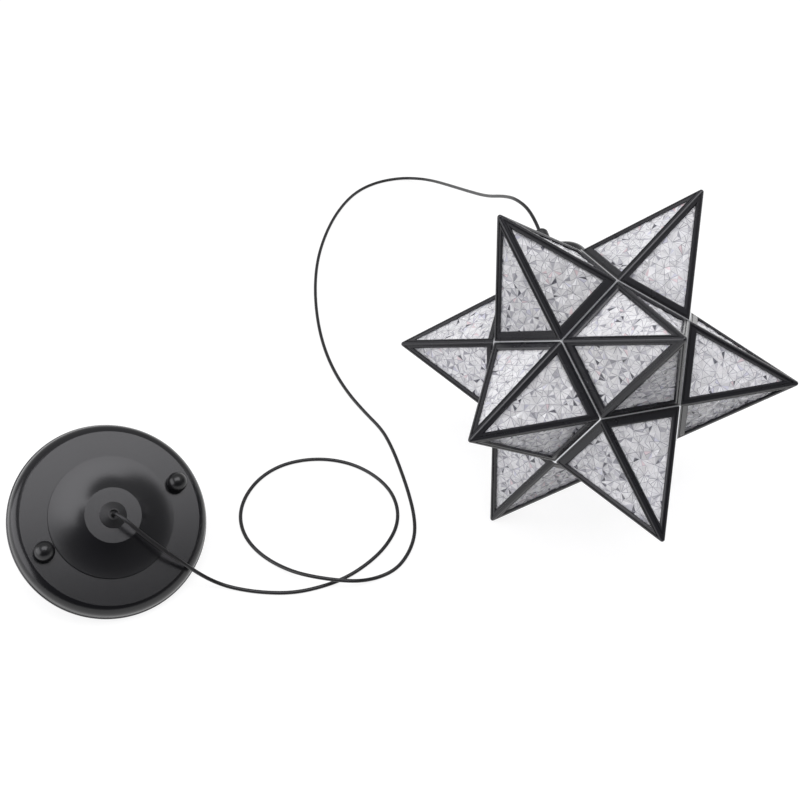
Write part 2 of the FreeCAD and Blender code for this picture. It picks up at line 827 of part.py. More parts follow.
def hex_nut(label, flats, bore, height):
    """A six-sided nut with a plain bore."""
    corner = flats / math.sqrt(3)
    corners = []
    for k in range(6):
        angle = math.radians(60 * k)
        corners.append((corner * math.cos(angle), corner * math.sin(angle)))
    nut = padded(label, corners, height)
    drill(nut, f"{label}_bore", [(Size(0, "0"), Size(0, "0"), bore * 2)])
    return nut


def pan_screw(label, shank, length, head, head_height):
    """A pan-headed screw: its head under Z = 0, its shank above."""
    return turned(label, [
        (Size(0, "0"), -head_height),
        (head * HEAD_FLAT, -head_height),
        (head, -head_height * 0.6),
        (head, Size(0, "0")),
        (shank, Size(0, "0")),
        (shank, length),
        (Size(0, "0"), length),
    ])


def lampholder_cap():
    """Upper half of the lampholder, screwed on the nipple."""
    outer = half("holder_diameter")
    wall = size("holder_wall")
    length = size("holder_length") * 0.4
    roof = size("grip_thread")
    thread = half("nipple_diameter") + size("running_gap")
    round_top = wall * 2
    return turned("lampholder_cap", [
        (outer - wall, Size(0, "0")),
        (outer, Size(0, "0")),
        (outer, length - round_top, -round_top * QUARTER_BULGE),
        (outer - round_top, length),
        (thread, length),
        (thread, length - roof),
        (outer - wall, length - roof),
    ])


def lampholder_body():
    """Lower half of the lampholder, with a rolled mouth and a floor that carries the contacts."""
    outer = half("holder_diameter")
    wall = size("holder_wall")
    length = size("holder_length") * 0.6
    floor = wall * 1.5
    rim = wall * 0.5
    return turned("lampholder_body", [
        (outer - wall, Size(0, "0")),
        (outer + rim, Size(0, "0")),
        (outer + rim, wall),
        (outer, wall + rim),
        (outer, length),
        (Size(0, "0"), length),
        (Size(0, "0"), length - floor),
        (outer - wall, length - floor),
    ])


def lamp_glass():
    """The lamp's round bulb: a neck that opens into a globe, with a thin wall."""
    globe = half("lamp_diameter")
    wall = size("lamp_wall")
    neck = half("lamp_base_diameter") - wall / 4
    reach = size("lamp_length") - size("lamp_base_length")
    centre = globe - reach
    meet = globe * 0.72
    drop = globe * math.sqrt(1 - 0.72 ** 2)
    outer_bulge = arc_bulge(globe, math.acos(0.72) + math.pi / 2)
    inner = globe - wall
    inner_bulge = arc_bulge(inner, math.acos(0.72) + math.pi / 2)
    return turned("lamp_glass", [
        (Size(0, "0"), centre - globe, -outer_bulge),
        (meet, centre + drop, globe * 0.05),
        (neck, -wall * 3),
        (neck, Size(0, "0")),
        (neck - wall, Size(0, "0")),
        (neck - wall, -wall * 3, -inner * 0.05),
        (inner * 0.72, centre + inner * math.sqrt(1 - 0.72 ** 2), inner_bulge),
        (Size(0, "0"), centre - inner),
    ])


def arc_bulge(radius, sweep):
    """How far the middle of an arc stands off its chord."""
    return radius * (1 - math.cos(sweep / 2))


def lamp_base():
    """The lamp's threaded base, with its contact button."""
    outer = half("lamp_base_diameter")
    length = size("lamp_base_length")
    button = outer * 0.45
    return turned("lamp_base", [
        (Size(0, "0"), Size(0, "0")),
        (outer, Size(0, "0")),
        (outer, length * 0.8),
        (button * 1.6, length * 0.93),
        (button, length * 0.93),
        (button, length),
        (Size(0, "0"), length),
    ])


def star_head():
    """Cap, cord grip, lampholder and lamp, stacked on the cap's axis."""
    zero = Size(0, "0")
    plate_top = core_height + size("plate_wall")
    cup_top = plate_top + size("cup_height")
    stand(cap_plate(), STAR, Vector(0, 0, float(core_height)))
    stand(cap_cup(), STAR, Vector(0, 0, float(plate_top)))
    stand(cap_cord_grip(), STAR, Vector(0, 0, float(cup_top)))
    under_cup = cup_top - size("cup_wall")
    nut_seat = under_cup - size("nut_height")
    bore = half("nipple_diameter") + size("running_gap")
    lock_nut = hex_nut("cap_lock_nut", size("nut_flats"), bore, size("nut_height"))
    stand(lock_nut, STAR, Vector(0, 0, float(nut_seat)))
    nipple_foot = nut_seat - size("grip_thread")
    nipple_length = cup_top + size("grip_thread") - nipple_foot
    stand(
        tube_piece("cap_nipple", half("nipple_diameter"), half("nipple_bore"), nipple_length),
        STAR, Vector(0, 0, float(nipple_foot)),
    )
    cap_length = size("holder_length") * 0.4
    body_length = size("holder_length") * 0.6
    cap_foot = nut_seat - cap_length
    body_foot = cap_foot - body_length
    stand(lampholder_cap(), STAR, Vector(0, 0, float(cap_foot)))
    stand(lampholder_body(), STAR, Vector(0, 0, float(body_foot)))
    floor_under = cap_foot - size("holder_wall") * 1.5
    contact_height = size("holder_wall")
    stand(
        turned("lampholder_contact", [
            (zero, zero), (half("lamp_base_diameter") * 0.5, zero),
            (half("lamp_base_diameter") * 0.5, contact_height), (zero, contact_height),
        ]),
        STAR, Vector(0, 0, float(floor_under - contact_height)),
    )
    shell_inner = half("lamp_base_diameter") + size("running_gap")
    shell_outer = shell_inner + size("holder_wall") / 4
    shell_length = size("lamp_base_length")
    stand(
        tube_piece("lampholder_shell", shell_outer, shell_inner, shell_length),
        STAR, Vector(0, 0, float(floor_under - shell_length)),
    )
    lamp_top = floor_under - contact_height
    lamp_seat = lamp_top - size("lamp_base_length")
    stand(lamp_base(), STAR, Vector(0, 0, float(lamp_seat)))
    stand(lamp_glass(), STAR, Vector(0, 0, float(lamp_seat)))
    screw = pan_screw(
        "cap_screw", half("cap_screw_diameter"), size("cap_screw_length"), size("cap_screw_diameter"),
        size("cap_screw_diameter") * 0.6,
    )
    upside_down = Rotation(Vector(1, 0, 0), 180)
    screws = [
        copy_of(screw.Shape, Placement(Vector(float(x), float(y), float(plate_top)), upside_down))
        for x, y in cap_screw_spots()
    ]
    node("cap_screws", Part.makeCompound(screws), STAR)
    return float(cup_top) + DIMENSIONS["grip_length"]


# ---------------------------------------------------------------- the canopy
def canopy_place():
    """How the canopy lies: on its rim and on the heads of the two screws behind it."""
    drop = float(head_level()) * -1
    head_edge = DIMENSIONS["screw_head"] / 2 * HEAD_FLAT
    tilt = math.atan2(drop, DIMENSIONS["canopy_diameter"] / 2 - head_edge)
    lean = math.radians(DIMENSIONS["canopy_lean"])
    z_axis = Vector(math.sin(tilt) * math.cos(lean), math.sin(tilt) * math.sin(lean), math.cos(tilt))
    x_axis = Vector(-math.sin(lean), math.cos(lean), 0)
    height = DIMENSIONS["canopy_diameter"] / 2 * math.sin(tilt)
    turn = Rotation(x_axis, z_axis.cross(x_axis), z_axis, "ZXY")
    return Placement(Vector(DIMENSIONS["canopy_x"], DIMENSIONS["canopy_y"], height), turn)


def screw_seat_level():
    """Underside of the crossbar, where the heads of its screws bear."""
    return size("ring_height") + size("screw_bite") - size("screw_length")


def head_level():
    return screw_seat_level() - size("screw_head_height")


def canopy_cover():
    """The spun canopy: steep skirt, flat ring, a low flared dome and a flat crown."""
    rim = half("canopy_diameter")
    ring = half("ring_diameter")
    dome = half("dome_diameter")
    crown = half("dome_flat")
    wall = size("canopy_wall")
    ring_top = size("ring_height")
    step_top = ring_top + size("dome_step")
    top = size("dome_height")
    bore = half("nipple_diameter") + size("running_gap")
    zero = Size(0, "0")
    lip = size("lip_height")
    waist = rim - size("lip_step")
    skirt = ring_top * 0.4
    draft = wall * 0.5
    cover = turned("canopy_cover", [
        (rim - wall, zero),
        (rim, zero),
        (rim, lip),
        (waist, lip + size("lip_step")),
        (waist - draft, skirt, -(rim - ring) * 0.2),
        (ring, ring_top),
        (dome + wall * 0.2, ring_top),
        (dome, step_top, (dome - crown) * 0.05),
        (crown, top),
        (bore, top),
        (bore, top - wall),
        (crown, top - wall, -(dome - crown) * 0.05),
        (dome - wall, step_top - wall),
        (dome - wall, ring_top - wall),
        (ring - wall * 0.5, ring_top - wall, (rim - ring) * 0.2),
        (waist - draft - wall, skirt),
        (waist - wall, lip + size("lip_step")),
        (rim - wall, lip),
    ])
    spread = half("screw_pitch")
    hole = size("screw_diameter") * 1.15
    drill(cover, "canopy_cover_holes", [(spread, zero, hole), (-spread, zero, hole)])
    return cover


def ball_nut(label):
    """A ball nut: a polished ball with a flat seat and a blind hole for its screw."""
    ball = half("ball_diameter")
    seat = half("ball_seat")
    centre = root_of(ball * ball - seat * seat)
    sweep = math.pi / 2 + math.asin(float(centre) / float(ball))
    hole = half("screw_diameter") + size("running_gap")
    depth = size("screw_bite") + size("running_gap") * 10
    zero = Size(0, "0")
    return turned(label, [
        (hole, zero),
        (seat, zero, -arc_bulge(float(ball), sweep)),
        (zero, centre + ball),
        (zero, depth),
        (hole, depth),
    ])


def canopy_cord_grip():
    """The cone on the canopy's crown, with a wide mouth and a threaded stem through the crown."""
    foot = half("collar_diameter")
    stem = half("nipple_diameter")
    mouth = half("mouth_diameter")
    brim = mouth + size("mouth_wall")
    zero = Size(0, "0")
    up = size("collar_height")
    down = -size("stem_length")
    bore = flex_bore()
    return turned("canopy_cord_grip", [
        (bore, down),
        (stem, down),
        (stem, zero),
        (foot, zero),
        (foot, up * 0.15),
        (brim, up * 0.9, -up * 0.05),
        (brim - size("mouth_wall") / 3, up),
        (mouth, up),
        (mouth, up - size("mouth_depth")),
        (bore, up - size("mouth_depth")),
    ])


def mounting_crossbar():
    """The flat bar that is screwed to the ceiling box and carries the canopy's two screws."""
    bar = padded("mounting_crossbar", rectangle(size("bar_length"), size("bar_width")), size("bar_wall"))
    spread = half("screw_pitch")
    box = half("box_pitch")
    zero = Size(0, "0")
    snug = size("screw_diameter") + size("running_gap") * 2
    drill(bar, "mounting_crossbar_holes", [
        (spread, zero, snug), (-spread, zero, snug),
        (box, zero, size("box_hole")), (-box, zero, size("box_hole")),
        (zero, zero, size("nipple_diameter") + size("running_gap") * 4),
        (size("earth_screw_x"), zero, snug),
    ])
    return bar


def terminal_block():
    """Two-pole terminal block, with a wire hole and a screw hole for each pole."""
    block = padded(
        "terminal_block", rectangle(size("terminal_width"), size("terminal_length")), size("terminal_height")
    )
    zero = Size(0, "0")
    pole = size("terminal_pole")
    drill(block, "terminal_screw_holes", [
        (zero, pole, size("terminal_screw")), (zero, -pole, size("terminal_screw")),
    ])
    return block


def canopy_parts(place):
    """Canopy, crossbar, screws, nuts and terminals, in the canopy's own frame."""
    stand(canopy_cover(), place)
    grip_seat = Vector(0, 0, DIMENSIONS["dome_height"])
    stand(canopy_cord_grip(), place, grip_seat)
    under_dome = size("dome_height") - size("canopy_wall")
    snug_nipple = half("nipple_diameter") + size("running_gap")
    stand(
        hex_nut("canopy_lock_nut", size("nut_flats"), snug_nipple, size("nut_height")),
        place, Vector(0, 0, float(under_dome - size("nut_height"))),
    )
    bar_level = screw_seat_level()
    stand(mounting_crossbar(), place, Vector(0, 0, float(bar_level)))
    bar_top = bar_level + size("bar_wall")
    screw = pan_screw(
        "mounting_screw", half("screw_diameter"), size("screw_length"), half("screw_head"),
        size("screw_head_height"),
    )
    spread = DIMENSIONS["screw_pitch"] / 2
    screw_shapes = []
    nut_shapes = []
    snug = half("screw_diameter") + size("running_gap")
    nut = hex_nut("screw_nut", size("screw_nut_flats"), snug, size("screw_nut_height"))
    under_ring = size("ring_height") - size("canopy_wall")
    for side in (-spread, spread):
        screw_shapes.append(copy_of(screw.Shape, Placement(Vector(side, 0, float(bar_level)), Rotation())))
        for level in (bar_top, under_ring - size("screw_nut_height")):
            nut_shapes.append(copy_of(nut.Shape, Placement(Vector(side, 0, float(level)), Rotation())))
    node("mounting_screws", Part.makeCompound(screw_shapes), place)
    node("screw_lock_nuts", Part.makeCompound(nut_shapes), place)
    nut_seat = DIMENSIONS["ring_height"] + DIMENSIONS["ball_gap"]
    stand(ball_nut("left_ball_nut"), place, Vector(-spread, 0, nut_seat))
    stand(ball_nut("right_ball_nut"), place, Vector(spread, 0, nut_seat))
    earth = pan_screw(
        "earth_screw", half("screw_diameter"), size("bar_wall") * 2, half("screw_head") * 0.8,
        size("screw_head_height"),
    )
    earth.Placement = place.multiply(Placement(
        Vector(DIMENSIONS["earth_screw_x"], 0, float(bar_top)), Rotation(Vector(1, 0, 0), 180)
    ))
    NODES.append(earth)
    block_x = DIMENSIONS["terminal_x"]
    stand(terminal_block(), place, Vector(block_x, 0, float(bar_top)))


# ---------------------------------------------------------------- the flex and its cores
def rounded_path(points, prints_as=None):
    """Straight runs joined by tangent arcs, each as large as its two runs allow."""
    edges = []
    radii = []
    start = points[0]
    for before, corner, after in zip(points, points[1:], points[2:]):
        back = before - corner
        ahead = after - corner
        turn = math.pi - back.getAngle(ahead)
        setback = 0.45 * min(back.Length, ahead.Length)
        radius = setback / math.tan(turn / 2)
        back.normalize()
        ahead.normalize()
        enter = corner + back * setback
        leave = corner + ahead * setback
        inward = (back + ahead).normalize()
        middle = corner + inward * (radius / math.cos(turn / 2) - radius)
        edges.append(Part.LineSegment(start, enter).toShape())
        edges.append(Part.Arc(enter, middle, leave).toShape())
        start = leave
        radii.append(radius)
    edges.append(Part.LineSegment(start, points[-1]).toShape())
    path = Part.Wire(edges)
    if prints_as:
        each = " ".join(f"{radius:.0f}" for radius in radii)
        print(f"{prints_as}: radii {min(radii):.1f} to {max(radii):.1f} mm: {each}")
    return path


def round_tube(path, diameter, label):
    """A solid tube along a path, with its volume compared with its section times its length."""
    first = path.OrderedEdges[0]
    start = first.valueAt(first.FirstParameter)
    heading = first.tangentAt(first.FirstParameter)
    section = Part.Wire(Part.Circle(start, heading, diameter / 2).toShape())
    tube = path.makePipeShell([section], True, False)
    expected = math.pi * diameter ** 2 / 4 * path.Length
    print(f"{label}: length {path.Length:.1f} mm, volume {tube.Volume:.1f}, section x length {expected:.1f}")
    if abs(tube.Volume / expected - 1) > 0.02:
        raise RuntimeError(f"{label} isn't a whole tube")
    return tube


def flex_parts(canopy, grip_end):
    """The free flex between the two grips, the short leads inside them, and the cores at the terminals."""
    diameter = DIMENSIONS["flex_diameter"]
    canopy_exit = DIMENSIONS["dome_height"] + DIMENSIONS["collar_height"]
    start = canopy.multVec(Vector(0, 0, canopy_exit))
    after_start = canopy.multVec(Vector(0, 0, canopy_exit + DIMENSIONS["canopy_straight"]))
    end = STAR.multVec(Vector(0, 0, grip_end))
    before_end = STAR.multVec(Vector(0, 0, grip_end + DIMENSIONS["star_straight"]))
    points = [start, after_start] + [Vector(*point) for point in FLEX_ROUTE] + [before_end, end]
    flex = round_tube(rounded_path(points, "pendant_flex"), diameter, "pendant_flex")
    node("pendant_flex", flex, Placement())
    stem_end = DIMENSIONS["dome_height"] - DIMENSIONS["stem_length"] - diameter
    lead = Part.makeCylinder(diameter / 2, canopy_exit - stem_end, Vector(0, 0, stem_end))
    node("canopy_lead", lead, canopy)
    under_nut = grip_end - DIMENSIONS["grip_length"] - DIMENSIONS["cup_wall"] - DIMENSIONS["nut_height"]
    lead_end = under_nut - DIMENSIONS["grip_thread"]
    star_lead = Part.makeCylinder(diameter / 2, grip_end - lead_end, Vector(0, 0, lead_end))
    node("star_lead", star_lead, STAR)
    core = DIMENSIONS["core_diameter"]
    block_top = float(screw_seat_level()) + DIMENSIONS["bar_wall"] + DIMENSIONS["terminal_height"]
    cores = []
    for side in (-1, 1):
        pole = side * DIMENSIONS["terminal_pole"]
        route = [
            Vector(0, side * core * 0.6, stem_end),
            Vector(0, side * core * 0.6, stem_end - 6),
            Vector(DIMENSIONS["terminal_x"] * 0.5, pole * 1.6, (stem_end + block_top) / 2 + 3),
            Vector(DIMENSIONS["terminal_x"], pole, block_top + 5),
            Vector(DIMENSIONS["terminal_x"], pole, block_top - DIMENSIONS["terminal_height"] * 0.6),
        ]
        cores.append(round_tube(rounded_path(route), core, "core_wire"))
    node("core_wires", Part.makeCompound(cores), canopy)


# ---------------------------------------------------------------- building and writing
def check_everything():
    """Stop if any object of the document failed, or a node's shape isn't a sound solid."""
    doc.recompute()
    for item in doc.Objects:
        if "Invalid" in item.State or "Error" in item.State:
            raise RuntimeError(f"{item.Label} failed: {item.State}")
    for piece in NODES:
        if piece.Shape.isNull() or not piece.Shape.isValid() or not piece.Shape.Solids:
            raise RuntimeError(f"{piece.Label} has no sound solid")


def write_nodes():
    for piece in NODES:
        piece.Shape.exportStep(f"parts/{piece.Label}.step")
    print(f"{len(NODES)} nodes, {sum(len(piece.Shape.Solids) for piece in NODES)} solids")


def main():
    star_points()
    grip_end = star_head()
    canopy = canopy_place()
    canopy_parts(canopy)
    flex_parts(canopy, grip_end)
    check_everything()
    write_nodes()


main()
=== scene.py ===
"""Looks of a star pendant lying on a bench: black canopy, thin flex and a glazed star of eleven points.

Lengths are metres in the row frame, +Z up, unless a name says mm.
"""
import json
import logging
import math
import random
from collections.abc import Iterable, Mapping
from dataclasses import dataclass, field
from enum import Enum
from typing import Any

import bmesh
import bpy
from mathutils import Matrix, Vector


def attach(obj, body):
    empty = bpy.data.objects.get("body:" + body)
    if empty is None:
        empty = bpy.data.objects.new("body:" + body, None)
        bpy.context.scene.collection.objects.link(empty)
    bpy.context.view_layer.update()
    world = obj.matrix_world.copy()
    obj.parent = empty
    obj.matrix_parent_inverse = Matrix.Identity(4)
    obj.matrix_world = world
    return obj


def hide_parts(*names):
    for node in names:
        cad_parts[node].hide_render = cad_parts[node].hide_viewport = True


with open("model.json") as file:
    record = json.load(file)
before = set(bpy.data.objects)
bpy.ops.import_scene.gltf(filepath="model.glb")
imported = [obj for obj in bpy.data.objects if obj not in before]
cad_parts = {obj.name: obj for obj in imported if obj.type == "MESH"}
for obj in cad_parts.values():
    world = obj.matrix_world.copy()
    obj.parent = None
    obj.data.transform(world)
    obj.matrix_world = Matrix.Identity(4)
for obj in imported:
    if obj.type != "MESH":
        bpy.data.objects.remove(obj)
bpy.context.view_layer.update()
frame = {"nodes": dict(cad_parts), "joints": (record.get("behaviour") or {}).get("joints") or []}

MM = 0.001
LOG = logging.getLogger("star_pendant")


# ---------------------------------------------------------------- colour and shader helpers
def linear(hex_colour: str) -> tuple[float, float, float, float]:
    """Turn an sRGB hex colour into the linear colour that a shader works in.

    Args:
        hex_colour: Colour such as "#1a2b3c".

    Returns:
        Red, green, blue and an alpha of 1.
    """
    channels = []
    for start in (1, 3, 5):
        value = int(hex_colour[start : start + 2], 16) / 255
        channels.append(value / 12.92 if value <= 0.04045 else ((value + 0.055) / 1.055) ** 2.4)
    return channels[0], channels[1], channels[2], 1.0


def add_node(
    tree: bpy.types.NodeTree,
    kind: str,
    settings: Mapping[str | int, Any] | None = None,
    links: Mapping[str | int, bpy.types.NodeSocket] | None = None,
) -> bpy.types.Node:
    """Add a node with its settings and its links.

    Args:
        tree: Node tree that gets the node.
        kind: Blender's name of the node's class.
        settings: Values by socket name, socket number or property name.
        links: Sockets of other nodes that feed this one, by socket name or number.

    Returns:
        The new node.
    """
    node = tree.nodes.new(kind)
    for key, value in (settings or {}).items():
        if isinstance(key, int) or key in node.inputs:
            node.inputs[key].default_value = value
        else:
            setattr(node, key, value)
    for key, source in (links or {}).items():
        tree.links.new(source, node.inputs[key])
    return node


def shader_tree(name: str) -> tuple[bpy.types.Material, bpy.types.NodeTree]:
    """Make a material with an empty node tree.

    Args:
        name: Name of the material.

    Returns:
        The material and its tree.
    """
    material = bpy.data.materials.new(name)
    material.use_nodes = True
    material.node_tree.nodes.clear()
    return material, material.node_tree


def per_size(size_mm: float) -> float:
    """Scale of a pattern whose features are a size in millimetres, in coordinates of metres."""
    return 1 / (size_mm * MM)


class Pattern(Enum):
    """Ways in which a coat's fine grain varies."""

    ORANGE_PEEL = "ORANGE_PEEL"
    SPUN = "SPUN"
    DRAWN = "DRAWN"


# Colour layer of painted light and shade on the star's glass: painted dark facets and cuts for shade, painted
# tints and white for glints.
PAINTED_LIGHT_LAYER = "tone"
GRAIN_STRETCH = {Pattern.ORANGE_PEEL: (1, 1, 1), Pattern.SPUN: (1, 1, 6), Pattern.DRAWN: (0.05, 1, 1)}


# ---------------------------------------------------------------- finishes
@dataclass(frozen=True)
class Coat:
    """A metal, lacquer or plastic surface with a fine grain and slow changes of sheen and tone.

    Real grain of these finishes is 0.1 to 0.4 mm; it is drawn as coarse as it needs to show in the render.
    """

    name: str
    colour: str
    roughness: float
    metallic: float = 0.0
    ior: float = 1.5
    coat: float = 0.0
    coat_roughness: float = 0.08
    grain_mm: float = 0.5
    grain_depth_mm: float = 0.01
    cloud_mm: float = 25.0
    cloud: float = 0.06
    shade: float = 0.12
    pattern: Pattern = Pattern.ORANGE_PEEL

    def material(self) -> bpy.types.Material:
        """Build the procedural material.

        Returns:
            The material.
        """
        material, tree = shader_tree(self.name)
        place = add_node(tree, "ShaderNodeTexCoord").outputs["Object"]
        stretch = {"Scale": GRAIN_STRETCH[self.pattern]}
        drawn = add_node(tree, "ShaderNodeMapping", stretch, {"Vector": place})
        grain = add_node(
            tree,
            "ShaderNodeTexNoise",
            {"Scale": per_size(self.grain_mm), "Detail": 3.0, "Roughness": 0.55},
            {"Vector": drawn.outputs["Vector"]},
        )
        cloud = add_node(
            tree,
            "ShaderNodeTexNoise",
            {"Scale": per_size(self.cloud_mm), "Detail": 4.0, "Roughness": 0.6},
            {"Vector": place},
        )
        sheen = add_node(
            tree,
            "ShaderNodeMapRange",
            {"To Min": self.roughness - self.cloud, "To Max": self.roughness + self.cloud},
            {"Value": cloud.outputs["Fac"]},
        )
        tone = linear(self.colour)
        light = tuple(min(1.0, channel * (1 + self.shade)) for channel in tone[:3]) + (1.0,)
        dark = tuple(channel * (1 - self.shade) for channel in tone[:3]) + (1.0,)
        colour = add_node(
            tree,
            "ShaderNodeMix",
            {"data_type": "RGBA", 6: dark, 7: light},
            {0: cloud.outputs["Fac"]},
        )
        bump = add_node(
            tree,
            "ShaderNodeBump",
            {"Strength": 1.0, "Distance": self.grain_depth_mm * MM},
            {"Height": grain.outputs["Fac"]},
        )
        surface = add_node(
            tree,
            "ShaderNodeBsdfPrincipled",
            {
                "Metallic": self.metallic,
                "IOR": self.ior,
                "Coat Weight": self.coat,
                "Coat Roughness": self.coat_roughness,
            },
            {
                "Base Color": colour.outputs[2],
                "Roughness": sheen.outputs["Result"],
                "Normal": bump.outputs["Normal"],
            },
        )
        add_node(tree, "ShaderNodeOutputMaterial", links={"Surface": surface.outputs["BSDF"]})
        return material


@dataclass(frozen=True)
class ClearGlass:
    """Glass with a slow ripple, which lets the lamps' light through to what it covers.

    Glass with painted light takes its colour from the mesh's layer of painted light and shade instead.
    """

    name: str
    colour: str
    clearness: float = 1.0
    roughness: float = 0.02
    ior: float = 1.5
    ripple_mm: float = 8.0
    ripple_depth_mm: float = 0.02
    takes_painted_light: bool = False

    def material(self) -> bpy.types.Material:
        """Build the glass.

        Returns:
            The material.
        """
        material, tree = shader_tree(self.name)
        place = add_node(tree, "ShaderNodeTexCoord").outputs["Object"]
        ripple = add_node(
            tree, "ShaderNodeTexNoise", {"Scale": per_size(self.ripple_mm), "Detail": 2.0}, {"Vector": place}
        )
        bump = add_node(
            tree,
            "ShaderNodeBump",
            {"Strength": 1.0, "Distance": self.ripple_depth_mm * MM},
            {"Height": ripple.outputs["Fac"]},
        )
        body = add_node(
            tree,
            "ShaderNodeBsdfPrincipled",
            {
                "Base Color": linear(self.colour),
                "Roughness": self.roughness,
                "IOR": self.ior,
                "Transmission Weight": self.clearness,
            },
            {"Normal": bump.outputs["Normal"]},
        )
        # Painted light and shade: the base colour comes from the mesh's layer of painted shade and glints.
        if self.takes_painted_light:
            tone = add_node(tree, "ShaderNodeVertexColor", {"layer_name": PAINTED_LIGHT_LAYER})
            tree.links.new(tone.outputs["Color"], body.inputs["Base Color"])
        open_way = add_node(tree, "ShaderNodeBsdfTransparent", {"Color": linear(self.colour)})
        path = add_node(tree, "ShaderNodeLightPath")
        surface = add_node(
            tree,
            "ShaderNodeMixShader",
            links={0: path.outputs["Is Shadow Ray"], 1: body.outputs["BSDF"], 2: open_way.outputs["BSDF"]},
        )
        add_node(tree, "ShaderNodeOutputMaterial", links={"Surface": surface.outputs["Shader"]})
        return material


# Powder coat on spun steel: satin and nearly black, with a faint peel that breaks up the highlights.
POWDER_COAT = Coat("powder_coated_steel", "#131316", 0.23, grain_mm=1.1, grain_depth_mm=0.005, cloud=0.02)
# Lacquer on folded metal strip: satin black, with edges that catch the light.
FRAME_LACQUER = Coat(
    "lacquered_metal_strip", "#202024", 0.27, grain_mm=0.9, grain_depth_mm=0.004, cloud=0.04
)
# Lacquer on turned balls: smooth, with small soft highlights.
TURNED_LACQUER = Coat(
    "lacquered_turned_brass", "#121214", 0.3, grain_mm=0.8, grain_depth_mm=0.002, cloud=0.03
)
# Tinned steel strip behind the seams: silvery white, dulled a little by the soldering.
TINNED_STEEL = Coat("tinned_steel_strip", "#e4e5e8", 0.3, metallic=1.0, grain_mm=1.5, grain_depth_mm=0.01)
# Nylon, injection moulded: dull satin from a finely spark-eroded mould.
NYLON = Coat("moulded_nylon", "#18181a", 0.42, ior=1.53, grain_mm=0.9, grain_depth_mm=0.006)
# PVC sheath, extruded: smooth and slightly waxy, with a draw along its length.
FLEX_SHEATH = Coat("extruded_pvc_sheath", "#161618", 0.36, grain_mm=1.2, grain_depth_mm=0.004)
# Zinc-plated steel: bright, with a faint drawn grain from the strip mill.
ZINC_PLATE = Coat(
    "zinc_plated_steel", "#c9cbca", 0.3, metallic=1.0,
    grain_mm=0.9, grain_depth_mm=0.004, pattern=Pattern.DRAWN,
)
# Brass, turned: warm yellow with fine tool rings.
TURNED_BRASS = Coat(
    "turned_brass", "#c7a45a", 0.26, metallic=1.0, grain_mm=0.8, grain_depth_mm=0.003, pattern=Pattern.SPUN
)
# Steatite, glazed: cool white with a soft gloss.
GLAZED_STEATITE = Coat("glazed_steatite", "#e6e3da", 0.25, ior=1.55, coat=0.4, grain_mm=1.0, shade=0.05)
# PVC insulation of the cores: brown, smooth.
CORE_INSULATION = Coat("core_insulation_pvc", "#6b3f22", 0.4, grain_mm=1.0, grain_depth_mm=0.003)
# Nickel-plated lamp base: rolled thin metal.
NICKEL_BASE = Coat(
    "nickel_plated_lamp_base", "#c4c3bf", 0.28, metallic=1.0, grain_mm=0.9, pattern=Pattern.SPUN
)
# Pressed soda-lime glass, a little milky. Its colour is a layer of painted light and shade: bright facets, a
# few of them painted dark or tinted where they would bend the light away, and fine cuts painted as thin lines,
# mostly grey.
PRESSED_GLASS = ClearGlass("pressed_soda_lime_glass", "#fbfbfc", clearness=0.46, roughness=0.06, takes_painted_light=True)
# The inner side, left as the roller made it: faintly matt, so that what is inside shows only softly.
ROLLED_BACK = ClearGlass("rolled_soda_lime_glass", "#fbfbfc", clearness=0.85, roughness=0.12)
# Blown glass of the lamp: thin and clear.
BLOWN_GLASS = ClearGlass("blown_lamp_glass", "#fbfaf6", roughness=0.0, ior=1.45, ripple_depth_mm=0.005)


# ---------------------------------------------------------------- mesh helpers
def mesh_object(name: str, mesh: bpy.types.Mesh, *materials: bpy.types.Material) -> bpy.types.Object:
    """Put a mesh into the scene.

    Args:
        name: Name of the piece.
        mesh: Its mesh, in the row frame.
        materials: What its faces are made of, by their material number.

    Returns:
        The new object.
    """
    for material in materials:
        mesh.materials.append(material)
    piece = bpy.data.objects.new(name, mesh)
    bpy.context.scene.collection.objects.link(piece)
    return piece


def dress(names: Iterable[str], material: bpy.types.Material) -> None:
    """Give CAD nodes a finish.

    Args:
        names: Node names.
        material: The finish.
    """
    for name in names:
        node = frame["nodes"][name]
        for slot in node.material_slots:
            slot.material = material
        LOG.info("dressed %s in %s", name, material.name)


def numbered(stem: str, count: int) -> list[str]:
    """Names of nodes that are numbered from 01.

    Args:
        stem: Shared start of the names.
        count: How many there are.

    Returns:
        The names in order.
    """
    return [f"{stem}_{number:02d}" for number in range(1, count + 1)]


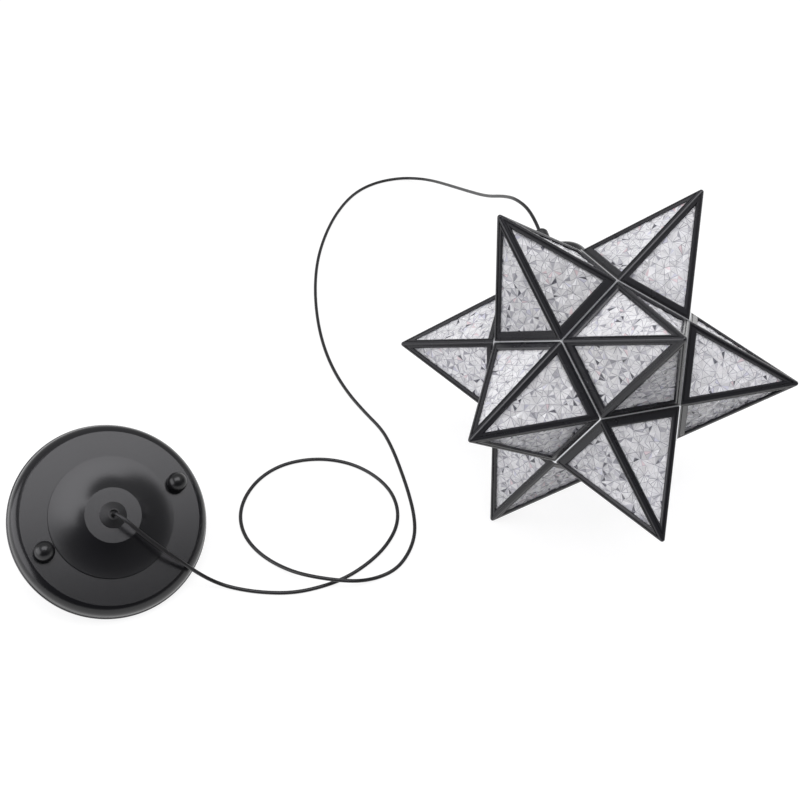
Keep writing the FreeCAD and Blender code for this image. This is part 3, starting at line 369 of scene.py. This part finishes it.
# ---------------------------------------------------------------- the flex
@dataclass
class Flex:
    """The free flex between the canopy's grip and the star's."""

    diameter: float = 0.0024
    length: float = 1.2
    route_mm: tuple[tuple[float, float, float], ...] = (
        # out of the canopy, over its rim
        (-172.382, -74.804, 46.882), (-171.195, -76.314, 50.391),
        (-167.0, -79.5, 51.5), (-161.0, -83.0, 48.5), (-152.5, -86.0, 41.0), (-142.5, -89.0, 33.0),
        (-131.5, -91.5, 24.0), (-122.0, -92.0, 13.0), (-112.5, -92.5, 5.0),
        # the loop on the bench
        (-101.5, -94.0, 1.3), (-84.0, -96.4, 1.3), (-64.0, -95.8, 1.3), (-46.0, -90.3, 1.3),
        (-30.5, -82.5, 1.3), (-16.5, -70.5, 1.3), (-6.0, -57.5, 1.3), (1.0, -42.0, 1.3), (1.6, -27.0, 1.3),
        (-3.5, -12.5, 1.3), (-14.5, -0.5, 1.3), (-29.5, 8.0, 1.3), (-47.0, 11.2, 1.3), (-64.0, 9.2, 1.3),
        (-79.5, 2.8, 1.3), (-92.0, -8.8, 1.3), (-99.8, -24.0, 1.3), (-102.0, -39.5, 1.3),
        (-97.8, -54.5, 1.3), (-88.0, -67.0, 1.3), (-74.0, -76.5, 1.3),
        # over the first strand
        (-57.0, -86.3, 7.0), (-29.5, -89.3, 7.0),
        # back across the bench
        (-13.5, -83.0, 1.3), (0.0, -75.5, 1.3), (8.3, -63.0, 1.3), (12.8, -48.0, 1.3), (12.3, -32.0, 1.3),
        (8.6, -13.5, 1.3), (3.0, 6.5, 1.3), (-2.5, 23.5, 1.3), (-9.5, 39.5, 1.3), (-21.5, 54.0, 1.3),
        (-34.0, 71.0, 1.3), (-45.5, 92.5, 1.3), (-54.5, 118.0, 1.3), (-60.5, 147.5, 1.3),
        (-63.6, 181.0, 1.3), (-62.8, 214.0, 1.3), (-57.0, 246.5, 1.3), (-48.0, 274.5, 1.3),
        (-35.5, 297.5, 1.3), (-19.0, 312.5, 1.3),
        # round and up to the star
        (1.0, 321.0, 1.3), (17.0, 318.5, 4.5), (28.5, 303.0, 15.5), (39.5, 277.5, 32.0),
        (51.5, 243.0, 54.5), (61.8, 208.5, 78.0), (69.2, 181.0, 101.5), (74.8, 159.0, 117.0),
        (82.887, 138.505, 122.737), (87.260, 123.410, 119.736),
    )

    def build(self) -> bpy.types.Object:
        """Lay the flex as one smooth curve.

        Returns:
            The flex.
        """
        curve = bpy.data.curves.new("pendant_flex_line", "CURVE")
        curve.dimensions = "3D"
        spline = curve.splines.new("NURBS")
        spline.points.add(len(self.route_mm) - 1)
        for point, place in zip(spline.points, self.route_mm):
            point.co = (*(Vector(place) * MM), 1.0)
        spline.order_u = 3
        spline.use_endpoint_u = True
        spline.resolution_u = 8
        curve.bevel_depth = self.diameter / 2
        curve.bevel_resolution = 5
        curve.use_fill_caps = True
        piece = bpy.data.objects.new("flex_line", curve)
        bpy.context.scene.collection.objects.link(piece)
        curve.materials.append(FLEX_SHEATH.material())
        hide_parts("pendant_flex")
        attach(piece, "canopy_and_cap")
        LOG.info("flex laid along %d points", len(self.route_mm))
        return piece


# ---------------------------------------------------------------- the star
@dataclass(frozen=True)
class Pane:
    """A flat pane: corners of its outer side with its foot first, the way that it faces, and thickness."""

    corners: tuple[Vector, Vector, Vector]
    outward: Vector
    thickness: float

    def seat(self) -> Matrix:
        """Carry the pane's own plane, with its foot along X, to its place in the point."""
        across = (self.corners[1] - self.corners[0]).normalized()
        up = self.outward.cross(across)
        turn = Matrix((across, up, self.outward)).transposed().to_4x4()
        return Matrix.Translation(self.corners[0]) @ turn

    def outline(self) -> list[Vector]:
        """Corners in the pane's own plane, anticlockwise."""
        home = self.seat().inverted()
        return [home @ corner for corner in self.corners]


# Colours with how often each comes up, as weights.
Tones = tuple[tuple[str, float], ...]


@dataclass
class StarGlass:
    """The patterned panes: stars of twelve facets, pressed into the outer side of each.

    A facet's colour is painted light and shade: pale by chance, with a few painted pink or lavender glints, or
    dark by chance as painted shade where a facet would bend the light away; dark ones are rarer on a pane that
    faces up to the overhead light. Depths of the stars' middles and corners are shares of the relief. The cuts
    between facets are wider than real ones, so that they show.
    """

    cell: float = 0.0088
    relief: float = 0.00085
    jitter: float = 0.2
    heart_depth: float = 1.0
    high_corner_depth: float = 0.1
    low_corner_depth: float = 0.5
    depth_spread: float = 0.1
    side_depths: tuple[float, float] = (0.1, 0.7)
    lattice_margin: int = 2
    # Painted shade: dark facets come up more often on upright panes and less on panes that face up to the
    # overhead light.
    upright_shade_bite: float = 2.4
    facing_up_shade_drop: float = 2.0
    cut_width: float = 0.00016
    cut_depth: float = 0.0001
    cut_widths_of_room: float = 3.0
    chance: random.Random = field(default_factory=lambda: random.Random(7))
    # Painted light and shade of the facets: pale tones with a few painted pink and lavender glints, and grey to
    # dark tones as painted shade.
    pale_and_painted_tint_tones: Tones = (
        ("#ffffff", 50), ("#fafafb", 24), ("#ececee", 12), ("#e2e2f2", 2), ("#f6dfe2", 2),
    )
    painted_shade_tones: Tones = (("#cfcfd4", 9), ("#a9a9b0", 4), ("#5f5f67", 3))
    # Cut lines painted as grey shade or white glints.
    painted_cut_shade_and_glint_tones: Tones = (("#94949b", 40), ("#cdcdd1", 30), ("#ffffff", 30))
    front: bpy.types.Material = field(default_factory=PRESSED_GLASS.material)
    back: bpy.types.Material = field(default_factory=ROLLED_BACK.material)

    def build(self) -> list[bpy.types.Object]:
        """Replace each point's flat panes.

        Returns:
            One piece of glass for each point.
        """
        pieces = []
        for name in numbered("point_glass", 11):
            mesh = bpy.data.meshes.new(f"{name}_cut")
            for pane in panes_of(frame["nodes"][name]):
                pressed = self.press(pane)
                pressed.from_mesh(mesh)
                pressed.to_mesh(mesh)
                pressed.free()
            piece = mesh_object(f"{name}_pane", mesh, self.front, self.back)
            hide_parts(name)
            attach(piece, "shade")
            pieces.append(piece)
            LOG.info("pressed %s with %d faces", name, len(mesh.polygons))
        return pieces

    def press(self, pane: Pane) -> bmesh.types.BMesh:
        """Build one pane: a relief of faceted stars in front, and flat sides and back.

        Args:
            pane: Its place and size.

        Returns:
            The pane's mesh, in the row frame.
        """
        outline = pane.outline()
        pressed = self.stars(outline)
        for start, end in zip(outline, outline[1:] + outline[:1]):
            side = Vector((end.y - start.y, start.x - end.x, 0)).normalized()
            everything = [*pressed.verts, *pressed.edges, *pressed.faces]
            bmesh.ops.bisect_plane(
                pressed, geom=everything, dist=1e-7, plane_co=start, plane_no=side, clear_outer=True
            )
        # Panes that face up get fewer painted-shade facets.
        self.cut_lines(pressed, self.upright_shade_bite - self.facing_up_shade_drop * max(0.0, pane.outward.z))
        self.close(pressed, outline, pane.thickness)
        bmesh.ops.transform(pressed, matrix=pane.seat(), verts=pressed.verts)
        return pressed

    def stars(self, outline: list[Vector]) -> bmesh.types.BMesh:
        """Lay six-sided stars over the pane, each of twelve facets that rise from its middle.

        Args:
            outline: The pane's corners in its plane.

        Returns:
            The relief, larger than the pane.
        """
        sheet = bmesh.new()
        sheet.loops.layers.float_color.new(PAINTED_LIGHT_LAYER)
        chance = self.chance
        step = self.cell / math.sqrt(3)
        row_height = step * math.sqrt(3) / 2
        margin = self.lattice_margin
        rows = int(max(corner.y for corner in outline) / row_height) + margin + 1
        first = int(min(corner.x for corner in outline) / step) - rows // 2 - margin - 1
        last = int(max(corner.x for corner in outline) / step) + margin + 1 + rows // 2
        depths = (self.heart_depth, self.high_corner_depth, self.low_corner_depth)
        slide = Vector((chance.uniform(-step, step), chance.uniform(-step, step), 0))
        knots = {}
        for row in range(-margin, rows):
            for column in range(first, last):
                share = depths[(column - row) % 3] + chance.uniform(-self.depth_spread, self.depth_spread)
                depth = max(0.0, min(1.0, share)) * self.relief + self.cut_depth
                shake = Vector((chance.uniform(-1, 1), chance.uniform(-1, 1), 0)) * (step * self.jitter)
                place = Vector(((column + 0.5 * row) * step, row * row_height, -depth)) + shake + slide
                knots[column, row] = sheet.verts.new(place)
        middles = {}
        for column, row in list(knots):
            for ring in (((0, 0), (1, 0), (0, 1)), ((1, 0), (1, 1), (0, 1))):
                keys = [(column + east, row + north) for east, north in ring]
                if all(key in knots for key in keys):
                    self.facet_pair(sheet, knots, middles, keys)
        return sheet

    def facet_pair(
        self,
        sheet: bmesh.types.BMesh,
        knots: dict[tuple[int, int], bmesh.types.BMVert],
        middles: dict[tuple, bmesh.types.BMVert],
        keys: list[tuple[int, int]],
    ) -> None:
        """Add the two facets between a star's middle and one side of its outline.

        Args:
            sheet: The relief.
            knots: Its points by column and row.
            middles: Points half way along the outlines' sides, by the keys of the two ends.
            keys: The middle and two corners of the star, anticlockwise from any.
        """
        while (keys[0][0] - keys[0][1]) % 3:
            keys = keys[1:] + keys[:1]
        heart, start, end = (knots[key] for key in keys)
        side = tuple(sorted(keys[1:]))
        if side not in middles:
            half_way = (start.co + end.co) / 2
            half_way.z = -self.cut_depth - self.relief * self.chance.uniform(*self.side_depths)
            middles[side] = sheet.verts.new(half_way)
        sheet.faces.new([heart, start, middles[side]])
        sheet.faces.new([heart, middles[side], end])

    def cut_lines(self, pressed: bmesh.types.BMesh, painted_shade_bite: float) -> None:
        """Sink a fine cut along the facets' edges, and paint light and shade on the facets: painted shade,
        glints and pale tones.

        Args:
            pressed: The relief, trimmed to the pane.
            painted_shade_bite: How much more often than usual a facet is dark.
        """
        room = self.cut_widths_of_room * self.cut_width
        broad = [face for face in pressed.faces if inner_radius(face) > room]
        facet_corners = set(pressed.verts)
        # Each facet is painted pale, tinted as a glint, or dark as shade.
        painted_facet_tones = self.pale_and_painted_tint_tones + tuple((tone, often * painted_shade_bite) for tone, often in self.painted_shade_tones)
        for face in pressed.faces:
            self.paint_light_tone(pressed, face, painted_facet_tones)
        lines = bmesh.ops.inset_individual(
            pressed, faces=broad, thickness=self.cut_width, use_even_offset=True
        )
        # The cuts are painted grey as shade or white as glints.
        for face in lines["faces"]:
            self.paint_light_tone(pressed, face, self.painted_cut_shade_and_glint_tones)
        for vert in facet_corners:
            vert.co.z -= self.cut_depth

    def paint_light_tone(self, pressed: bmesh.types.BMesh, face: bmesh.types.BMFace, tones: Tones) -> None:
        """Paint one tone of light or shade on a face: a painted shade, a painted glint or a pale tone.

        Args:
            pressed: Mesh that holds the face.
            face: The face.
            tones: The tones and how often each comes up.
        """
        layer = pressed.loops.layers.float_color[PAINTED_LIGHT_LAYER]
        tone = linear(self.chance.choices([tone for tone, _ in tones], [often for _, often in tones])[0])
        for loop in face.loops:
            loop[layer] = tone

    @staticmethod
    def close(pressed: bmesh.types.BMesh, outline: list[Vector], thickness: float) -> None:
        """Add the flat back and sides.

        Args:
            pressed: Mesh that holds the relief.
            outline: The pane's corners in its plane.
            thickness: How far the back lies behind the outline.
        """
        rim = {vert for vert in pressed.verts if vert.is_boundary}
        back = [pressed.verts.new((corner.x, corner.y, -thickness)) for corner in outline]
        flat = [pressed.faces.new(list(reversed(back)))]
        for index, start in enumerate(outline):
            after = (index + 1) % 3
            along = (outline[after] - start).normalized()
            chain = [vert for vert in rim if abs(along.cross(vert.co - start).z) < 1e-6]
            chain.sort(key=lambda vert: -along.dot(vert.co - start))
            flat.append(pressed.faces.new([back[index], back[after], *chain]))
        for face in flat:
            face.material_index = 1


def inner_radius(face: bmesh.types.BMFace) -> float:
    """About the radius of the largest circle inside a face."""
    return 2 * face.calc_area() / sum(edge.calc_length() for edge in face.edges)


def panes_of(node: bpy.types.Object) -> list[Pane]:
    """Read the flat panes of a CAD node.

    Args:
        node: The node, whose loose parts are three-sided prisms.

    Returns:
        Its panes, in a fixed order.
    """
    middle = star_centre()
    found = []
    work = bmesh.new()
    work.from_mesh(node.data)
    bmesh.ops.remove_doubles(work, verts=work.verts, dist=1e-6)
    work.verts.index_update()
    seen = set()
    for vert in work.verts:
        if vert in seen:
            continue
        island = grow_from(vert)
        seen |= island
        corners = sorted(island, key=lambda corner: corner.index)
        found.append(read_pane([corner.co.copy() for corner in corners], middle))
    work.free()
    found.sort(key=lambda pane: tuple(round(value, 5) for value in pane.corners[0]))
    return found


def grow_from(vert: bmesh.types.BMVert) -> set[bmesh.types.BMVert]:
    """All vertices that edges join to one.

    Args:
        vert: Where to start.

    Returns:
        The vertices of its loose part.
    """
    island = {vert}
    to_visit = [vert]
    while to_visit:
        here = to_visit.pop()
        for edge in here.link_edges:
            other = edge.other_vert(here)
            if other not in island:
                island.add(other)
                to_visit.append(other)
    return island


def read_pane(corners: list[Vector], middle: Vector) -> Pane:
    """Sort the six corners of a pane into its outer side.

    Args:
        corners: The prism's corners.
        middle: The star's centre.

    Returns:
        The pane, its corners anticlockwise seen from outside.
    """
    first = corners[0]
    partner = min(corners[1:], key=lambda corner: (corner - first).length)
    outward = (first - partner).normalized()
    if outward.dot(first - middle) < 0:
        outward.negate()
    thickness = (first - partner).length
    ranked = sorted(corners, key=lambda corner: corner.dot(outward), reverse=True)
    outer = ranked[:3]
    if (outer[1] - outer[0]).cross(outer[2] - outer[0]).dot(outward) < 0:
        outer = [outer[0], outer[2], outer[1]]
    foot = min(range(3), key=lambda index: (outer[index] - outer[(index + 1) % 3]).length)
    return Pane(tuple(outer[foot:] + outer[:foot]), outward, thickness)


def star_centre() -> Vector:
    """Middle of the star, from the lamp's joint."""
    joint = next(item for item in frame["joints"] if item["name"] == "lamp_turn")
    return Vector(joint["pos_m"])


# ---------------------------------------------------------------- finishes of the CAD nodes
@dataclass
class Metalwork:
    """The rigid nodes whose CAD shape shows."""

    def build(self) -> None:
        """Dress every node."""
        dress(["canopy_cover", "cap_cup", "cap_plate"], POWDER_COAT.material())
        dress([*numbered("point_frame", 11), "pane_clips"], FRAME_LACQUER.material())
        dress(["seam_strips", "corner_brackets"], TINNED_STEEL.material())
        dress(["left_ball_nut", "right_ball_nut"], TURNED_LACQUER.material())
        dress(
            ["canopy_cord_grip", "cap_cord_grip", "lampholder_body", "lampholder_cap", "cap_screws"],
            NYLON.material(),
        )
        dress(["canopy_lead", "star_lead"], FLEX_SHEATH.material())
        dress(
            [
                "mounting_crossbar", "mounting_screws", "screw_lock_nuts", "earth_screw", "cap_lock_nut",
                "canopy_lock_nut",
            ],
            ZINC_PLATE.material(),
        )
        dress(["cap_nipple", "lampholder_contact", "lampholder_shell"], TURNED_BRASS.material())
        dress(["terminal_block"], GLAZED_STEATITE.material())
        dress(["core_wires"], CORE_INSULATION.material())
        dress(["lamp_base"], NICKEL_BASE.material())
        dress(["lamp_glass"], BLOWN_GLASS.material())


# ---------------------------------------------------------------- studio
COOL_WHITE = "#faf9fd"


@dataclass(frozen=True)
class SoftBox:
    """One rectangular soft box."""

    name: str
    place: tuple[float, float, float]
    aim: tuple[float, float, float]
    width: float
    height: float
    brightness: float
    turn_deg: float = 0.0

    def hang(self) -> None:
        """Hang it so that its face looks at its aim, with the power that gives its brightness."""
        data = bpy.data.lights.new(self.name, "AREA")
        data.shape = "RECTANGLE"
        data.size = self.width
        data.size_y = self.height
        data.energy = self.brightness * math.pi * self.width * self.height
        data.color = linear(COOL_WHITE)[:3]
        lamp = bpy.data.objects.new(self.name, data)
        bpy.context.scene.collection.objects.link(lamp)
        facing = (Vector(self.aim) - Vector(self.place)).to_track_quat("-Z", "Y").to_matrix().to_4x4()
        turned = Matrix.Rotation(math.radians(self.turn_deg), 4, "Z")
        lamp.matrix_world = Matrix.Translation(Vector(self.place)) @ facing @ turned
        LOG.info("hung soft box %s", self.name)


@dataclass
class Studio:
    """Pale floor, soft lights and the camera."""

    eye: Vector = field(default_factory=lambda: Vector((-0.0512, -0.4791, 0.6271)))
    right: Vector = field(default_factory=lambda: Vector((0.99629, 0.0, 0.08609)))
    up: Vector = field(default_factory=lambda: Vector((-0.05655, 0.75397, 0.65447)))
    lens_mm: float = 52.29
    sensor_mm: float = 36.0
    floor_half: float = 3.0
    floor_colour: str = "#828282"
    floor_lift: float = 0.85
    front_light: float = 0.08
    back_light: float = 0.5
    fade_from: float = -0.8
    fade_to: float = 0.6
    soft_boxes: tuple[SoftBox, ...] = (
        SoftBox("overhead", (-0.01, -0.04, 1.5), (-0.01, -0.04, 0.0), 1.55, 0.97, 3.4, turn_deg=20.0),
        SoftBox("left", (-1.35, -0.5, 0.55), (-0.18, -0.07, 0.03), 1.6, 1.1, 2.6),
        SoftBox("right", (1.4, 0.5, 0.5), (0.1, 0.0, 0.1), 0.8, 0.8, 1.5),
    )

    def build(self) -> None:
        """Set up everything around the object."""
        self.camera()
        self.floor()
        self.world()
        self.lamps()
        bpy.context.scene.view_settings.view_transform = "Standard"

    def camera(self) -> None:
        """Stand the camera where the picture was taken from."""
        data = bpy.data.cameras.new("camera")
        data.lens = self.lens_mm
        data.sensor_width = self.sensor_mm
        data.clip_start = 0.01
        camera = bpy.data.objects.new("camera", data)
        bpy.context.scene.collection.objects.link(camera)
        right = self.right.normalized()
        up = (self.up - right * self.up.dot(right)).normalized()
        back = right.cross(up)
        turn = Matrix((right, up, back)).transposed().to_4x4()
        camera.matrix_world = Matrix.Translation(self.eye) @ turn
        bpy.context.scene.camera = camera

    def floor(self) -> None:
        """Lay a pale floor that keeps faint shadows and shows white to camera, metal and glass."""
        mesh = bpy.data.meshes.new("floor")
        half = self.floor_half
        corners = [(-half, -half, 0), (half, -half, 0), (half, half, 0), (-half, half, 0)]
        mesh.from_pydata(corners, [], [(0, 1, 2, 3)])
        material, tree = shader_tree("white_paper_floor")
        paper = add_node(tree, "ShaderNodeBsdfDiffuse", {"Color": linear(self.floor_colour)})
        seen = self.seen_rays(tree, with_glossy=True)
        lift = add_node(tree, "ShaderNodeMath", {"operation": "MULTIPLY", 1: self.floor_lift}, {0: seen})
        glow = add_node(
            tree, "ShaderNodeEmission", {"Color": linear("#ffffff")}, {"Strength": lift.outputs[0]}
        )
        both = add_node(tree, "ShaderNodeAddShader", links={0: paper.outputs[0], 1: glow.outputs[0]})
        add_node(tree, "ShaderNodeOutputMaterial", links={"Surface": both.outputs[0]})
        piece = mesh_object("floor", mesh, material)

    @staticmethod
    def seen_rays(tree: bpy.types.NodeTree, with_glossy: bool) -> bpy.types.NodeSocket:
        """Pick out the rays by which the background is seen.

        Args:
            tree: Node tree that gets the nodes.
            with_glossy: Whether reflections count too.

        Returns:
            A socket that is 1 for those rays and 0 for the rest.
        """
        path = add_node(tree, "ShaderNodeLightPath")
        kinds = ["Is Camera Ray", "Is Transmission Ray"] + ["Is Glossy Ray"] * with_glossy
        seen = path.outputs[kinds[0]]
        for kind in kinds[1:]:
            either = add_node(
                tree, "ShaderNodeMath", {"operation": "MAXIMUM"}, {0: seen, 1: path.outputs[kind]}
            )
            seen = either.outputs[0]
        return seen

    def world(self) -> None:
        """Surround the object with white for camera and glass, and with a softer light, dimmer in front."""
        world = bpy.data.worlds.new("studio")
        bpy.context.scene.world = world
        world.use_nodes = True
        tree = world.node_tree
        tree.nodes.clear()
        direction = add_node(tree, "ShaderNodeTexCoord").outputs["Generated"]
        split = add_node(tree, "ShaderNodeSeparateXYZ", links={0: direction})
        fade = add_node(
            tree,
            "ShaderNodeMapRange",
            {
                "From Min": self.fade_from,
                "From Max": self.fade_to,
                "To Min": self.front_light,
                "To Max": self.back_light,
            },
            {"Value": split.outputs["Y"]},
        )
        strength = add_node(
            tree,
            "ShaderNodeMix",
            {"data_type": "FLOAT", 3: 1.0},
            {0: self.seen_rays(tree, with_glossy=False), 2: fade.outputs["Result"]},
        )
        shine = add_node(
            tree, "ShaderNodeBackground", {"Color": linear("#ffffff")}, {"Strength": strength.outputs[0]}
        )
        add_node(tree, "ShaderNodeOutputWorld", links={"Surface": shine.outputs[0]})

    def lamps(self) -> None:
        """Hang three soft boxes: a large one overhead, and one low to each side."""
        for box in self.soft_boxes:
            box.hang()


def main() -> None:
    """Build the scene in order."""
    logging.basicConfig(level=logging.INFO, format="%(message)s")
    Studio().build()
    Flex().build()
    Metalwork().build()
    StarGlass().build()


if __name__ == "__main__":
    main()
